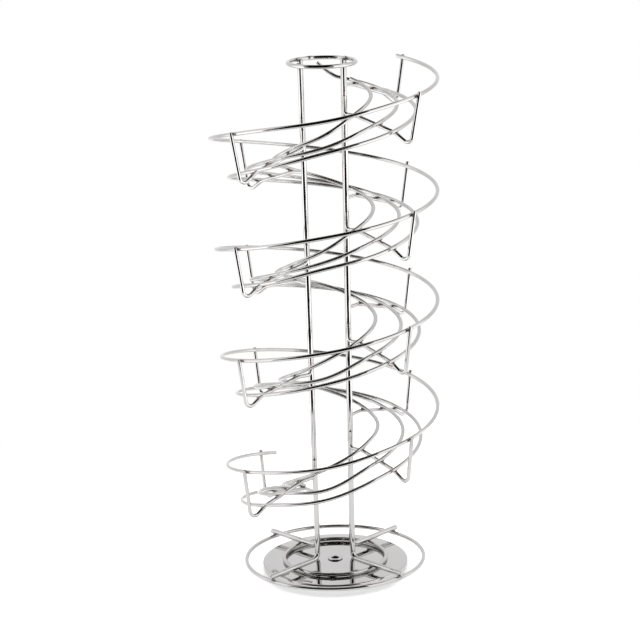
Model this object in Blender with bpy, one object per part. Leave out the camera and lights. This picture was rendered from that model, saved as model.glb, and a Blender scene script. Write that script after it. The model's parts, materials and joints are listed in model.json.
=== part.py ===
"""Rolling egg dispenser: a spiral wire run for eggs on a round turntable base.

Eggs are laid in at the top of the run, roll down the sloping floor rails behind the guard
rail, and are taken out at the bottom. The whole wire frame turns on its base plate.
All sizes are in metres, Z is up, X is to the right and the front of the piece faces -Y.
Turns are counted down the run: zero degrees is at the right, and the run goes down from
the right over the front to the left and round the back.
"""
import math

import bmesh
import bpy
from mathutils import Vector

# Wire thicknesses
rail_wire = 0.0030
support_wire = 0.0030
ring_wire = 0.0032
upright_wire = 0.0042
# Narrow space left between two pieces that touch or are welded
seat_gap = 0.0003
# Free space around a piece that turns
running_gap = 0.0003

# Base stack, counted from the table upwards
foot_height = 0.0026
foot_width = 0.0120
foot_inset = 0.0100
foot_count = 3
sheet_thickness = 0.0012
lower_disc_radius = 0.0500
lower_disc_edge_radius = 0.0010
foot_circle_radius = lower_disc_radius - foot_inset
ball_width = 0.0045
ball_circle_radius = 0.0300
ball_count = 10
cage_thickness = 0.0012
cage_margin = 0.0060
cage_radius = ball_circle_radius + cage_margin
upper_disc_radius = 0.0590
upper_disc_skirt = 0.0048
upper_disc_edge_radius = 0.0016
rivet_shank_radius = 0.0042
rivet_bore_radius = 0.0031
rivet_flange_radius = 0.0060
rivet_flange_thickness = 0.0008

# Rings of the frame
base_ring_radius = 0.0720
inner_ring_radius = 0.0412
top_ring_radius = 0.0260
top_ring_height = 0.4000
top_ring_lean = math.radians(3.5)

# Uprights: half spacing from the middle, and the arms they turn into
upright_half_width_top = 0.0165
upright_half_width_base = 0.0140
upright_half_depth = 0.0145
upright_top_stand = 0.0008
# The arms end a little past the base ring that they carry
arm_overrun = 0.0032
arm_reach = base_ring_radius + arm_overrun
arm_bend_radius = 0.0055

# Guard rail: the outer helix
guard_radius_top = 0.0883
guard_radius_bottom = 0.0844
# The guard rail passes turn angle zero this far under the top ring
guard_drop = 0.0129
guard_height = top_ring_height - guard_drop
guard_start = -47.0
guard_end = 1316.0
# Height of its lower end over the base ring, and the even fall that leads down to it
guard_end_height = 0.0679
# The last turn drops a little more than the others
end_drop = 0.0030
end_drop_from = 1090.0
end_drop_over = 170.0
run_pitch = (guard_height - guard_end_height - end_drop) * 360.0 / guard_end

# Floor rails: three helices inside the guard rail
inner_rail_radius = 0.0385
middle_rail_radius = 0.0585
outer_rail_inset = 0.0116
outer_rail_radius = guard_radius_bottom - outer_rail_inset
floor_shift = -0.0015
inner_rail_start = -52.0
middle_rail_start = -92.0
outer_rail_start = -48.0
rail_end = 1316.0
middle_rail_end = 1330.0
tip_turn = 16.0
tip_rise = 0.0090
# The floor hangs a little higher on the right than on the left
floor_swing = 0.0019

# Supports: hooks from the guard rail under the floor rails to the uprights
front_right_angle = 42.8
front_left_angle = 42.0
back_left_angle = 43.3
back_right_angle = 44.3
# Each round of supports stands a little further down the run than the one above
support_twist = 1.2
support_turns = 4
foot_bend_radius = 0.0045
knee_bend_radius = 0.0120
crest_bend_radius = 0.0080
# Floor outline, as distances from the middle and depths under the guard rail
hook_inset = 0.0013
hook_radius = guard_radius_bottom - hook_inset
hook_depth = 0.0388
knee_radius = 0.0690
knee_depth = 0.0290
crest_radius = 0.0350
crest_depth = 0.0185
root_radius = 0.0220
root_depth = 0.0190
# The inner end of a hook is turned up and lies along its upright
lap_bend_radius = 0.0035
lap_height = 0.0140
# The hooks are bent by hand. Each row is one hook, down the run: degrees that it stands further
# on than an even row of hooks, how far its crest and its inner end hang lower, and how far its
# leg stands over the middle of the guard rail
hand_bending = (
    (0.0, 0.0010, 0.0000, 0.0014),
    (-3.8, -0.0018, -0.0046, 0.0032),
    (1.1, 0.0014, -0.0018, 0.0014),
    (-1.1, 0.0000, -0.0014, 0.0016),
    (1.4, 0.0018, 0.0034, 0.0030),
    (-0.7, -0.0013, -0.0022, 0.0032),
    (0.8, 0.0032, 0.0010, 0.0022),
    (-1.1, 0.0015, 0.0022, 0.0016),
    (1.4, 0.0036, 0.0058, 0.0024),
    (1.8, 0.0000, -0.0005, 0.0032),
    (1.0, 0.0032, 0.0048, 0.0014),
    (0.0, 0.0025, 0.0040, 0.0016),
    (0.0, 0.0062, 0.0094, 0.0024),
    (0.0, 0.0000, 0.0000, 0.0032),
    (0.0, 0.0000, 0.0000, 0.0024),
    (0.0, 0.0000, 0.0000, 0.0024),
)
# Between the two front hooks of a turn a floor rail is free and bows: how far down, turn by turn.
# The outer one runs true, as the guard rail does
inner_bows = (0.0022, 0.0014, 0.0000, 0.0000)
middle_bows = (0.0023, 0.0010, 0.0038, 0.0050)
outer_bows = ()
# The bow begins a little past the hook, since a hook doesn't point straight at the middle
bow_margin = 9.0

# Fineness of the faceted shapes
wire_sides = 6
thick_wire_sides = 8
outer_turn_steps = 30
middle_turn_steps = 26
inner_turn_steps = 22
ring_steps = 48
disc_steps = 60
small_round_steps = 24
ball_steps = 12
ball_rings = 7
bend_step = math.radians(24.0)
tip_steps = 5

# Heights worked out from the sizes above, from the table upwards
lower_disc_bottom = foot_height + seat_gap
lower_disc_top = lower_disc_bottom + sheet_thickness
ball_middle = lower_disc_top + running_gap + ball_width / 2
upper_disc_bottom = ball_middle + ball_width / 2 + running_gap
upper_disc_top = upper_disc_bottom + sheet_thickness
ring_plane = upper_disc_top + seat_gap + ring_wire / 2
arm_height = ring_plane + ring_wire / 2 + seat_gap + upright_wire / 2
sheet_bore_radius = rivet_shank_radius + running_gap


def clear_scene():
    for item in list(bpy.data.objects):
        bpy.data.objects.remove(item, do_unlink=True)
    for mesh in list(bpy.data.meshes):
        bpy.data.meshes.remove(mesh)


def make_material(name, colour, metallic, roughness):
    material = bpy.data.materials.new(name)
    material.use_nodes = True
    shader = material.node_tree.nodes["Principled BSDF"]
    shader.inputs["Base Color"].default_value = (colour[0], colour[1], colour[2], 1.0)
    shader.inputs["Metallic"].default_value = metallic
    shader.inputs["Roughness"].default_value = roughness
    material.diffuse_color = (colour[0], colour[1], colour[2], 1.0)
    return material


def make_object(name, points, faces, material, place=(0.0, 0.0, 0.0), turn=0.0, smooth=True):
    """Close the given faces into one mesh, with its faces turned outwards."""
    mesh = bpy.data.meshes.new(name)
    mesh.from_pydata([tuple(point) for point in points], [], faces)
    work = bmesh.new()
    work.from_mesh(mesh)
    bmesh.ops.recalc_face_normals(work, faces=work.faces)
    work.to_mesh(mesh)
    work.free()
    for polygon in mesh.polygons:
        polygon.use_smooth = smooth
    mesh.materials.append(material)
    item = bpy.data.objects.new(name, mesh)
    item.location = place
    item.rotation_euler = (0.0, 0.0, turn)
    bpy.context.collection.objects.link(item)
    return item


def joined_to(axis, item):
    item.parent = axis
    item.matrix_parent_inverse = axis.matrix_world.inverted()
    return item


def wire_mesh(path, wire, sides, closed, guide):
    """Sweep a round wire along a path; the guide vector sets where its first edge points."""
    count = len(path)
    points = []
    faces = []
    for index, spot in enumerate(path):
        if closed:
            before = path[(index - 1) % count]
            after = path[(index + 1) % count]
        else:
            before = path[max(index - 1, 0)]
            after = path[min(index + 1, count - 1)]
        ahead = (after - before).normalized()
        side = ahead.cross(guide).normalized()
        upward = side.cross(ahead).normalized()
        for corner in range(sides):
            angle = 2.0 * math.pi * corner / sides
            offset = upward * math.cos(angle) + side * math.sin(angle)
            points.append(spot + offset * wire / 2)
    spans = count if closed else count - 1
    for index in range(spans):
        here = index * sides
        there = ((index + 1) % count) * sides
        for corner in range(sides):
            beside = (corner + 1) % sides
            faces.append((here + corner, here + beside, there + beside, there + corner))
    if not closed:
        last = (count - 1) * sides
        faces.append(tuple(range(sides)))
        faces.append(tuple(last + corner for corner in range(sides)))
    return points, faces


def turned_mesh(outline, steps):
    """Turn a closed outline of (distance, height) pairs about the upright axis."""
    count = len(outline)
    points = []
    faces = []
    for step in range(steps):
        angle = 2.0 * math.pi * step / steps
        for distance, height in outline:
            points.append(Vector((distance * math.cos(angle), distance * math.sin(angle), height)))
    for step in range(steps):
        here = step * count
        there = ((step + 1) % steps) * count
        for index in range(count):
            beside = (index + 1) % count
            faces.append((here + index, here + beside, there + beside, there + index))
    return points, faces


def quarter_round(middle, radius, start, end, steps):
    spots = []
    for step in range(steps + 1):
        angle = start + (end - start) * step / steps
        spots.append((middle[0] + radius * math.cos(angle), middle[1] + radius * math.sin(angle)))
    return spots


def rounded_path(corners, radii):
    """Straight runs between corners, each corner rounded to its own bend radius."""
    path = [corners[0]]
    for index in range(1, len(corners) - 1):
        corner = corners[index]
        back = (corners[index - 1] - corner).normalized()
        onward = (corners[index + 1] - corner).normalized()
        opening = back.angle(onward)
        turning = math.pi - opening
        reach = radii[index - 1] / math.tan(opening / 2)
        middle = corner + (back + onward).normalized() * radii[index - 1] / math.sin(opening / 2)
        first = corner + back * reach
        last = corner + onward * reach
        steps = max(2, math.ceil(turning / bend_step))
        arm = first - middle
        axis = arm.cross(last - middle).normalized()
        across = axis.cross(arm)
        for step in range(steps + 1):
            angle = turning * step / steps
            path.append(middle + arm * math.cos(angle) + across * math.sin(angle))
    path.append(corners[-1])
    return path


def eased(share):
    share = min(max(share, 0.0), 1.0)
    return share * share * (3.0 - 2.0 * share)


def guard_level(turn):
    """Height of the guard rail at a turn angle in degrees down the run."""
    extra = end_drop * eased((turn - end_drop_from) / end_drop_over)
    return ring_plane + guard_height - run_pitch * turn / 360.0 - extra


def guard_distance(turn):
    share = (turn - guard_start) / (guard_end - guard_start)
    return guard_radius_top + (guard_radius_bottom - guard_radius_top) * share


def floor_depth(distance):
    """Depth of the floor outline under the guard rail at a distance out."""
    spots = (
        (root_radius, root_depth),
        (crest_radius, crest_depth),
        (knee_radius, knee_depth),
        (hook_radius, hook_depth),
    )
    for near, far in zip(spots, spots[1:]):
        if distance <= far[0] or far is spots[-1]:
            slope = (far[1] - near[1]) / (far[0] - near[0])
            return near[1] + slope * (distance - near[0])
    return spots[-1][1]


def support_places():
    """Turn angle, side, face and leg's stand of each hook, in the order of the run."""
    sides = (
        (1.0, 1.0, front_right_angle),
        (-1.0, 1.0, 180.0 - front_left_angle),
        (-1.0, -1.0, 180.0 + back_left_angle),
        (1.0, -1.0, -back_right_angle),
    )
    places = []
    for whole in range(support_turns):
        for right, front, turn in sides:
            places.append((turn + (360.0 + support_twist) * whole, right, front))
    places.sort()
    shifted = []
    for (turn, right, front), row in zip(places, hand_bending):
        shifted.append((turn + row[0], right, front, row[3]))
    return shifted


def hook_sags(turn):
    """Sag of the crest and of the inner end at a turn angle, eased from one hook to the next."""
    turns = [place[0] for place in support_places()]
    rows = [(own, row[1], row[2]) for own, row in zip(turns, hand_bending)]
    for near, far in zip(rows, rows[1:]):
        if turn <= far[0]:
            share = eased((turn - near[0]) / (far[0] - near[0]))
            crest_sag = near[1] + (far[1] - near[1]) * share
            end_sag = near[2] + (far[2] - near[2]) * share
            return crest_sag, end_sag
    return rows[-1][1], rows[-1][2]


def floor_level(distance, turn):
    """Height of the middle of a support wire under the floor."""
    crest_sag, end_sag = hook_sags(turn)
    outer_share = min(max((knee_radius - distance) / (knee_radius - crest_radius), 0.0), 1.0)
    inner_share = max((crest_radius - distance) / (crest_radius - root_radius), 0.0)
    sag = crest_sag * outer_share + (end_sag - crest_sag) * inner_share
    swing = floor_swing * math.cos(math.radians(turn))
    return guard_level(turn) - floor_depth(distance) + swing - sag


def floor_slope(distance, turn):
    """How much the floor outline falls for each step outwards, at a distance out."""
    step = 0.0001
    return (floor_level(distance - step, turn) - floor_level(distance + step, turn)) / (2.0 * step)


def spot_at(distance, turn, height):
    angle = -math.radians(turn)
    return Vector((distance * math.cos(angle), distance * math.sin(angle), height))


def turn_near(spot, turn):
    """Turn angle of a plan position, taken on the same round as the given turn."""
    own = -math.degrees(math.atan2(spot[1], spot[0]))
    return own + 360.0 * round((turn - own) / 360.0)


def helix_turns(start, end, steps_per_turn):
    steps = math.ceil((end - start) / 360.0 * steps_per_turn)
    return [start + (end - start) * step / steps for step in range(steps + 1)]


def tipped_turns(start, end, steps_per_turn):
    """As above, with shorter steps along the two turned-up tips."""
    middle = helix_turns(start + tip_turn, end - tip_turn, steps_per_turn)
    first = [start + tip_turn * step / tip_steps for step in range(tip_steps)]
    last = [end - tip_turn * (tip_steps - step) / tip_steps for step in range(1, tip_steps + 1)]
    return first + middle + last


def front_bow(turn, bows):
    """How far a rail hangs down at a turn angle between two front hooks."""
    turns = [place[0] for place in support_places() if place[2] > 0.0]
    for start, end, bow in zip(turns[0::2], turns[1::2], bows):
        share = (turn - start - bow_margin) / (end - start - 2.0 * bow_margin)
        if 0.0 < share < 1.0:
            return bow * math.sin(math.pi * share) ** 2
    return 0.0


def guard_path():
    path = []
    for turn in helix_turns(guard_start, guard_end, outer_turn_steps):
        path.append(spot_at(guard_distance(turn), turn, guard_level(turn)))
    return path


def tip_lift(turn, start, end, turned_up):
    """Rise of the turned-up tips at the two ends of the middle rail."""
    if not turned_up:
        return 0.0
    past = max(start + tip_turn - turn, turn - end + tip_turn, 0.0)
    return tip_rise * (past / tip_turn) ** 1.5


def floor_rail_path(radius, start, end, steps_per_turn, bows, turned_up=False):
    """A floor rail lying on the supports, a wire and a narrow gap above their middles."""
    path = []
    turns = tipped_turns if turned_up else helix_turns
    for turn in turns(start, end, steps_per_turn):
        spot = spot_at(radius, turn, 0.0) + Vector((floor_shift, 0.0, 0.0))
        distance = math.hypot(spot[0], spot[1])
        fall = run_pitch / (2.0 * math.pi * distance)
        slope = floor_slope(distance, turn)
        stand = ((rail_wire + support_wire) / 2 + seat_gap) * math.sqrt(1.0 + slope ** 2 + fall ** 2)
        spot[2] = floor_level(distance, turn) + stand
        spot[2] = spot[2] + tip_lift(turn, start, end, turned_up) - front_bow(turn, bows)
        path.append(spot)
    return path


def ring_path(radius, steps):
    path = []
    for step in range(steps):
        angle = 2.0 * math.pi * step / steps
        path.append(Vector((radius * math.cos(angle), radius * math.sin(angle), 0.0)))
    return path


def upright_half_width(height):
    share = (ring_plane + top_ring_height - height) / top_ring_height
    return upright_half_width_top + (upright_half_width_base - upright_half_width_top) * share


def upright_path(right, front):
    """From the top ring straight down, then outwards as an arm over the two base rings."""
    depth = -front * upright_half_depth
    top = ring_plane + top_ring_height + depth * math.sin(top_ring_lean) + upright_top_stand
    head = Vector((right * upright_half_width_top, depth, top))
    heel = Vector((right * upright_half_width_base, depth, arm_height))
    outward = Vector((heel[0], heel[1], 0.0)).normalized()
    tip = Vector((outward[0] * arm_reach, outward[1] * arm_reach, arm_height))
    return rounded_path([head, heel, tip], [arm_bend_radius])


def distance_along(start, direction, radius):
    """How far from the start, going inwards, a straight plan line reaches a radius."""
    middle = start.dot(direction)
    return -middle - math.sqrt(middle ** 2 - start.dot(start) + radius ** 2)


def support_corners(turn, right, front, stand):
    """Corners of one hook in its own upright plane, with the plane's place and direction."""
    leg_radius = guard_distance(turn) + (rail_wire + support_wire) / 2 + seat_gap
    outer = spot_at(leg_radius, turn, 0.0)
    join_height = guard_level(turn) - root_depth
    beside = (upright_wire + support_wire) / 2 + seat_gap
    inner = Vector((
        right * upright_half_width(join_height),
        -front * (upright_half_depth + beside),
        0.0,
    ))
    inward = (inner - outer).normalized()
    corners = [Vector((0.0, 0.0, guard_level(turn) + stand))]
    for radius in (hook_radius, knee_radius, crest_radius):
        along = distance_along(outer, inward, radius)
        spot = outer + inward * along
        level = floor_level(radius, turn_near(spot, turn))
        corners.append(Vector((along, 0.0, level)))
    root = floor_level(inner.length, turn_near(inner, turn))
    reach = (inner - outer).length
    corners.append(Vector((reach, 0.0, root)))
    corners.append(Vector((reach, 0.0, root + lap_height)))
    return corners, outer, math.atan2(inward[1], inward[0])


def make_support(number, place, material):
    corners, outer, heading = support_corners(*place)
    radii = [foot_bend_radius, knee_bend_radius, crest_bend_radius, lap_bend_radius]
    path = rounded_path(corners, radii)
    drop = corners[0][2]
    lowered = [spot - Vector((0.0, 0.0, drop)) for spot in path]
    points, faces = hook_mesh(lowered)
    name = "support_%02d" % number
    return make_object(name, points, faces, material, (outer[0], outer[1], drop), heading)


def hook_mesh(path):
    """Sweep a wire along a path that stays in the local XZ plane."""
    count = len(path)
    points = []
    faces = []
    side = Vector((0.0, 1.0, 0.0))
    for index, spot in enumerate(path):
        before = path[max(index - 1, 0)]
        after = path[min(index + 1, count - 1)]
        ahead = (after - before).normalized()
        inward = side.cross(ahead)
        for corner in range(wire_sides):
            angle = 2.0 * math.pi * corner / wire_sides
            offset = inward * math.cos(angle) + side * math.sin(angle)
            points.append(spot + offset * support_wire / 2)
    for index in range(count - 1):
        here = index * wire_sides
        for corner in range(wire_sides):
            beside = (corner + 1) % wire_sides
            there = here + wire_sides
            faces.append((here + corner, here + beside, there + beside, there + corner))
    last = (count - 1) * wire_sides
    faces.append(tuple(range(wire_sides)))
    faces.append(tuple(last + corner for corner in range(wire_sides)))
    return points, faces


def make_upper_disc(material):
    """The visible mirror plate: a sheet with a rounded shoulder and a short skirt."""
    edge = upper_disc_edge_radius
    inside = edge - sheet_thickness
    shoulder = (upper_disc_radius - edge, upper_disc_top - edge)
    skirt_foot = upper_disc_top - upper_disc_skirt
    outline = [(sheet_bore_radius, upper_disc_top)]
    outline += quarter_round(shoulder, edge, math.pi / 2, 0.0, 4)
    outline += [(upper_disc_radius, skirt_foot), (upper_disc_radius - sheet_thickness, skirt_foot)]
    outline += quarter_round(shoulder, inside, 0.0, math.pi / 2, 2)
    outline += [(sheet_bore_radius, upper_disc_bottom)]
    points, faces = turned_mesh(outline, disc_steps)
    return make_object("upper_disc", points, faces, material)


def make_lower_disc(material):
    edge = lower_disc_edge_radius
    outline = [(sheet_bore_radius, lower_disc_bottom)]
    outline += [(lower_disc_radius - edge / 2, lower_disc_bottom)]
    outline += quarter_round(
        (lower_disc_radius - edge, lower_disc_top - edge), edge, 0.0, math.pi / 2, 2)
    outline += [(sheet_bore_radius, lower_disc_top)]
    points, faces = turned_mesh(outline, disc_steps)
    return make_object("lower_disc", points, faces, material)


def make_rivet(material):
    """The hollow middle rivet that holds the stack together; the upper disc turns on it."""
    low = lower_disc_bottom - seat_gap - rivet_flange_thickness
    high = upper_disc_top + running_gap + rivet_flange_thickness
    thick = rivet_flange_thickness
    soft = thick / 2
    outline = [(rivet_bore_radius, low), (rivet_flange_radius, low)]
    outline += [(rivet_flange_radius, low + thick), (rivet_shank_radius, low + thick)]
    outline += [(rivet_shank_radius, high - thick), (rivet_flange_radius, high - thick)]
    outline += quarter_round((rivet_flange_radius - soft, high - soft), soft, 0.0, math.pi / 2, 2)
    outline += quarter_round((rivet_bore_radius + soft, high - soft), soft, math.pi / 2, math.pi, 2)
    points, faces = turned_mesh(outline, small_round_steps)
    return make_object("centre_rivet", points, faces, material)


def make_cage(material):
    """A plate hung on the rivet with one round window for each ball."""
    work = bmesh.new()
    loops = [(0.0, 0.0, cage_radius, disc_steps), (0.0, 0.0, sheet_bore_radius, small_round_steps)]
    for number in range(ball_count):
        angle = 2.0 * math.pi * number / ball_count
        middle_x = ball_circle_radius * math.cos(angle)
        middle_y = ball_circle_radius * math.sin(angle)
        loops.append((middle_x, middle_y, ball_width / 2 + running_gap, ball_steps))
    edges = []
    for middle_x, middle_y, radius, steps in loops:
        ring = []
        for step in range(steps):
            angle = 2.0 * math.pi * step / steps
            spot = (middle_x + radius * math.cos(angle), middle_y + radius * math.sin(angle), 0.0)
            ring.append(work.verts.new(spot))
        for step in range(steps):
            edges.append(work.edges.new((ring[step], ring[(step + 1) % steps])))
    filled = bmesh.ops.triangle_fill(work, use_beauty=True, use_dissolve=False, edges=edges)
    sheet = [item for item in filled["geom"] if isinstance(item, bmesh.types.BMFace)]
    raised = bmesh.ops.extrude_face_region(work, geom=sheet, use_keep_orig=True)
    moved = [item for item in raised["geom"] if isinstance(item, bmesh.types.BMVert)]
    bmesh.ops.translate(work, verts=moved, vec=(0.0, 0.0, cage_thickness))
    bmesh.ops.translate(work, verts=work.verts, vec=(0.0, 0.0, -cage_thickness / 2))
    return finish_work("ball_cage", work, material, (0.0, 0.0, ball_middle), False)


def finish_work(name, work, material, place, smooth):
    bmesh.ops.recalc_face_normals(work, faces=work.faces)
    mesh = bpy.data.meshes.new(name)
    work.to_mesh(mesh)
    work.free()
    for polygon in mesh.polygons:
        polygon.use_smooth = smooth
    mesh.materials.append(material)
    item = bpy.data.objects.new(name, mesh)
    item.location = place
    bpy.context.collection.objects.link(item)
    return item


def make_ball(number, material):
    angle = 2.0 * math.pi * (number - 1) / ball_count
    work = bmesh.new()
    bmesh.ops.create_uvsphere(
        work, u_segments=ball_steps, v_segments=ball_rings, radius=ball_width / 2)
    place = (ball_circle_radius * math.cos(angle), ball_circle_radius * math.sin(angle), ball_middle)
    return finish_work("ball_%02d" % number, work, material, place, True)


def make_foot(number, material):
    angle = 2.0 * math.pi * (number - 1) / foot_count + math.pi / 2
    work = bmesh.new()
    bmesh.ops.create_cone(
        work, cap_ends=True, segments=small_round_steps, radius1=foot_width / 2 - foot_height / 4,
        radius2=foot_width / 2, depth=foot_height)
    place = (foot_circle_radius * math.cos(angle), foot_circle_radius * math.sin(angle), foot_height / 2)
    return finish_work("foot_%d" % number, work, material, place, False)


def make_ring(name, radius, height, steps, material, lean=0.0):
    upward = Vector((0.0, 0.0, 1.0))
    points, faces = wire_mesh(ring_path(radius, steps), ring_wire, thick_wire_sides, True, upward)
    item = make_object(name, points, faces, material, (0.0, 0.0, height))
    item.rotation_euler = (lean, 0.0, 0.0)
    return item


def make_axis(name):
    axis = bpy.data.objects.new(name, None)
    axis.empty_display_size = base_ring_radius
    bpy.context.collection.objects.link(axis)
    return axis


def build():
    clear_scene()
    chrome = make_material("chrome_wire", (0.82, 0.82, 0.83), 1.0, 0.08)
    chrome_rail = make_material("chrome_rail", (0.80, 0.80, 0.81), 1.0, 0.10)
    mirror = make_material("chrome_sheet", (0.78, 0.78, 0.79), 1.0, 0.05)
    zinc = make_material("zinc_sheet", (0.62, 0.62, 0.63), 1.0, 0.30)
    steel = make_material("ball_steel", (0.70, 0.70, 0.72), 1.0, 0.12)
    plastic = make_material("cage_plastic", (0.90, 0.89, 0.85), 0.0, 0.45)
    rubber = make_material("foot_rubber", (0.04, 0.04, 0.04), 0.0, 0.80)
    rivet_metal = make_material("rivet_metal", (0.75, 0.75, 0.76), 1.0, 0.15)

    # The standing part: feet, lower disc and the rivet
    make_lower_disc(zinc)
    make_rivet(rivet_metal)
    for number in range(1, foot_count + 1):
        make_foot(number, rubber)

    # The ball race, which follows at half the speed of the turntable
    cage_axis = make_axis("cage_axis")
    joined_to(cage_axis, make_cage(plastic))
    for number in range(1, ball_count + 1):
        joined_to(cage_axis, make_ball(number, steel))

    # The turning part: upper disc and the whole wire frame
    frame_axis = make_axis("turntable_axis")
    joined_to(frame_axis, make_upper_disc(mirror))
    joined_to(frame_axis, make_ring("inner_ring", inner_ring_radius, ring_plane, ring_steps, chrome))
    joined_to(frame_axis, make_ring("base_ring", base_ring_radius, ring_plane, disc_steps, chrome))
    top_height = ring_plane + top_ring_height
    top_ring = make_ring("top_ring", top_ring_radius, top_height, ring_steps, chrome, top_ring_lean)
    joined_to(frame_axis, top_ring)

    sides = (
        ("front_right", 1.0, 1.0),
        ("front_left", -1.0, 1.0),
        ("back_left", -1.0, -1.0),
        ("back_right", 1.0, -1.0),
    )
    for label, right, front in sides:
        path = upright_path(right, front)
        guide = Vector((-front, right, 0.0)).normalized()
        points, faces = wire_mesh(path, upright_wire, thick_wire_sides, False, guide)
        joined_to(frame_axis, make_object("upright_" + label, points, faces, chrome))

    upward = Vector((0.0, 0.0, 1.0))
    points, faces = wire_mesh(guard_path(), rail_wire, wire_sides, False, upward)
    joined_to(frame_axis, make_object("guard_rail", points, faces, chrome_rail))
    rails = (
        ("inner", inner_rail_radius, inner_rail_start, rail_end, inner_turn_steps, inner_bows, False),
        ("middle", middle_rail_radius, middle_rail_start, middle_rail_end, middle_turn_steps, middle_bows, True),
        ("outer", outer_rail_radius, outer_rail_start, rail_end, outer_turn_steps, outer_bows, False),
    )
    for label, radius, start, end, steps, bows, turned_up in rails:
        path = floor_rail_path(radius, start, end, steps, bows, turned_up)
        points, faces = wire_mesh(path, rail_wire, wire_sides, False, upward)
        joined_to(frame_axis, make_object("floor_rail_" + label, points, faces, chrome_rail))

    for number, place in enumerate(support_places(), start=1):
        joined_to(frame_axis, make_support(number, place, chrome))


build()
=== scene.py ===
# %% [markdown]
# # A rolling egg dispenser of chrome plated wire
# The real thing is a spiral run of bent wire that stands on a round turntable. What is laid in at the top
# rolls down on three floor rails behind a guard rail, and is taken out at the bottom.
# The construction model is loaded first. It says where every wire lies and which pieces turn together,
# and it is never moved. Its wires have six or eight flat sides, so this lesson draws each one again as a
# truly round wire on the same line, and then gives it its plating.

# %% Load the construction model
import json
import math

import bpy
import numpy as np
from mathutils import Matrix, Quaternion, Vector

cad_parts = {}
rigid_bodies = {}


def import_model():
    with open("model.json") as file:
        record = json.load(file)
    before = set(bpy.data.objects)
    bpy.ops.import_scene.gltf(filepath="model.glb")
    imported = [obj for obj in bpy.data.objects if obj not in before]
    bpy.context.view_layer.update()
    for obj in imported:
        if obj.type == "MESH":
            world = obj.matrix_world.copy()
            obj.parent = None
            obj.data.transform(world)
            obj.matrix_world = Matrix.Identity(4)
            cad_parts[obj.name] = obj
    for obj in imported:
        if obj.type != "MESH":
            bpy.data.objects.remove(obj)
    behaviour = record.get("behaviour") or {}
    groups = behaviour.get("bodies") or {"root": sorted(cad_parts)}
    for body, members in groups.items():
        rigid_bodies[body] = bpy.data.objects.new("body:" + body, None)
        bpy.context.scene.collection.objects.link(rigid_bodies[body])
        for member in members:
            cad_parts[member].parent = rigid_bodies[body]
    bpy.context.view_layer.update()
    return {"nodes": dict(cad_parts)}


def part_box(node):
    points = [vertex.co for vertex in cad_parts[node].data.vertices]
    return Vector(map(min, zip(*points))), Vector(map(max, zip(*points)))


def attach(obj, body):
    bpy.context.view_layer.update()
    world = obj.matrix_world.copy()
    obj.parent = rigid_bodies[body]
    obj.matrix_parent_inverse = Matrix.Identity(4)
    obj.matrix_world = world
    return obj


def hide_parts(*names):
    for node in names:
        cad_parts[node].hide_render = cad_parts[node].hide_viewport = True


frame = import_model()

# %% [markdown]
# The heights of the base are read from the loaded pieces, so the new wires sit where the old ones do.
# The thicknesses are those of the drawn wire that such a rack is bent from.

# %% Wires and the heights of the base
rail_wire = 0.0030
support_wire = 0.0030
ring_wire = 0.0032
upright_wire = 0.0042
seat_gap = 0.0003


def middle_height(node):
    low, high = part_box(node)
    return (low.z + high.z) / 2


def outer_radius(node):
    low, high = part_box(node)
    return (high.x - low.x) / 2


ring_plane = middle_height("base_ring")
top_plane = middle_height("top_ring")
arm_height = ring_plane + ring_wire / 2 + seat_gap + upright_wire / 2
base_ring_radius = outer_radius("base_ring") - ring_wire / 2
inner_ring_radius = outer_radius("inner_ring") - ring_wire / 2
top_ring_radius = outer_radius("top_ring") - ring_wire / 2
print("ring plane at mm", round(1000 * ring_plane, 2), "base ring radius", round(1000 * base_ring_radius, 1))

# %% [markdown]
# The run is a helix, and places on it are given by a turn angle: zero degrees at the right, ninety at the
# front, counted on down the run. The guard rail drops evenly, a little more near its end. The floor
# hangs under it on bent supports, whose outline is given as distances from the middle axis and depths under
# the guard rail. Everything below follows from these few sizes.

# %% The guard rail's helix
guard_radius_top = 0.0883
guard_radius_bottom = 0.0844
guard_height = 0.3871
guard_start = -47.0
guard_end = 1316.0
guard_end_height = 0.0679
end_drop = 0.0030
end_drop_from = 1090.0
end_drop_over = 170.0
run_pitch = (guard_height - guard_end_height - end_drop) * 360.0 / guard_end


def eased(share):
    share = min(max(share, 0.0), 1.0)
    return share * share * (3.0 - 2.0 * share)


def guard_level(turn):
    extra = end_drop * eased((turn - end_drop_from) / end_drop_over)
    return ring_plane + guard_height - run_pitch * turn / 360.0 - extra


def guard_distance(turn):
    share = (turn - guard_start) / (guard_end - guard_start)
    return guard_radius_top + (guard_radius_bottom - guard_radius_top) * share


def spot_at(distance, turn, height):
    angle = -math.radians(turn)
    return Vector((distance * math.cos(angle), distance * math.sin(angle), height))


print("pitch in mm", round(1000 * run_pitch, 2), "turns", round((guard_end - guard_start) / 360, 2))

# %% [markdown]
# The hooks are bent and set by hand, so no two are quite alike. Each row below is one hook, counted down
# the run: how many degrees it stands further on than an even row would, how far its crest and its inner
# end hang lower, and how far its leg stands over the middle of the guard rail. The floor rails lie on the
# hooks, so they share these small waves.

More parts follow.
